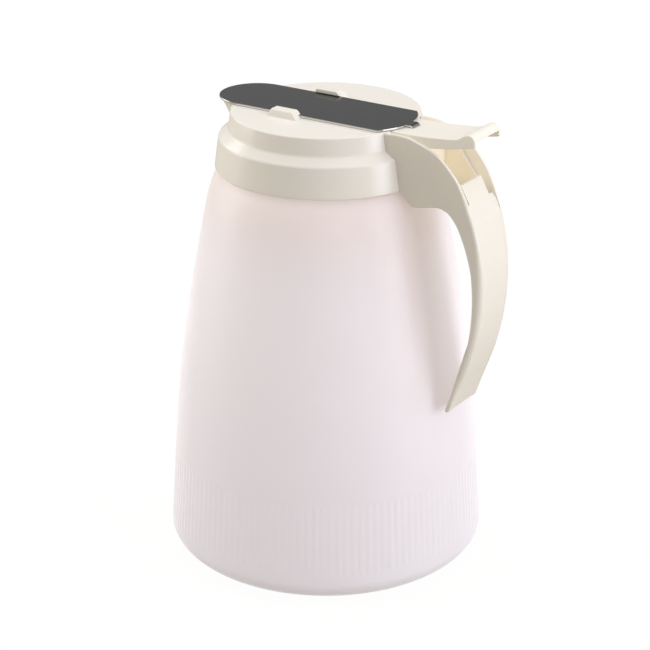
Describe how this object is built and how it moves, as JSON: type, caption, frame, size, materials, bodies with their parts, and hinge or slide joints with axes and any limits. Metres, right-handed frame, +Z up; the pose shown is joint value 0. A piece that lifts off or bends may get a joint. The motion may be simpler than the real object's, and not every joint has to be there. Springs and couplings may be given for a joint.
{
  "type": "pour dispenser",
  "caption": "Hand-held syrup and condiment pour server: translucent tapered jar, screw top with a steel sliding gate worked by a thumb trigger, and a channel handle.",
  "frame": {"origin": "centre of the jar's flat underside, on the jar's axis", "axes": "+Z up along the jar's axis, +X towards the handle, -X towards the spout"},
  "size_m": [0.1427, 0.1296, 0.1919],
  "materials": {
    "jar_plastic": "translucent natural polyolefin, satin",
    "gasket_rubber": "white food-grade silicone",
    "almond_plastic": "semi-gloss almond",
    "handle_plastic": "semi-gloss almond",
    "pin_steel": "turned stainless steel",
    "gate_steel": "smooth stainless steel with a bright sheared edge",
    "trigger_plastic": "semi-gloss almond",
    "spring_steel": "drawn stainless wire"
  },
  "bodies": {
    "jar": {"jar": "jar_plastic"},
    "seal": {"neck_gasket": "gasket_rubber"},
    "top": {"top_moulding": "almond_plastic", "handle": "handle_plastic", "spring_guide_pin": "pin_steel", "return_spring": "spring_steel"},
    "gate": {"gate_plate": "gate_steel", "trigger": "trigger_plastic"}
  },
  "joints": [
    {"name": "top_lift", "type": "slide", "parent": "jar", "child": "seal", "axis": [0, 0, 1], "range_m": [0, 0.0085]},
    {"name": "top_unscrew", "type": "hinge", "parent": "seal", "child": "top", "pos_m": [0, 0, 0], "axis": [0, 0, 1], "range_deg": [0, 720]},
    {"name": "gate_slide", "type": "slide", "parent": "top", "child": "gate", "axis": [1, 0, 0], "range_m": [0, 0.018], "stiffness_N_per_m": 250, "springref_m": -0.006, "deforming": ["return_spring"]}
  ],
  "couplings": [
    {"joint": "top_lift", "follows": "top_unscrew", "m_per_rad": 0.00066845}
  ]
}
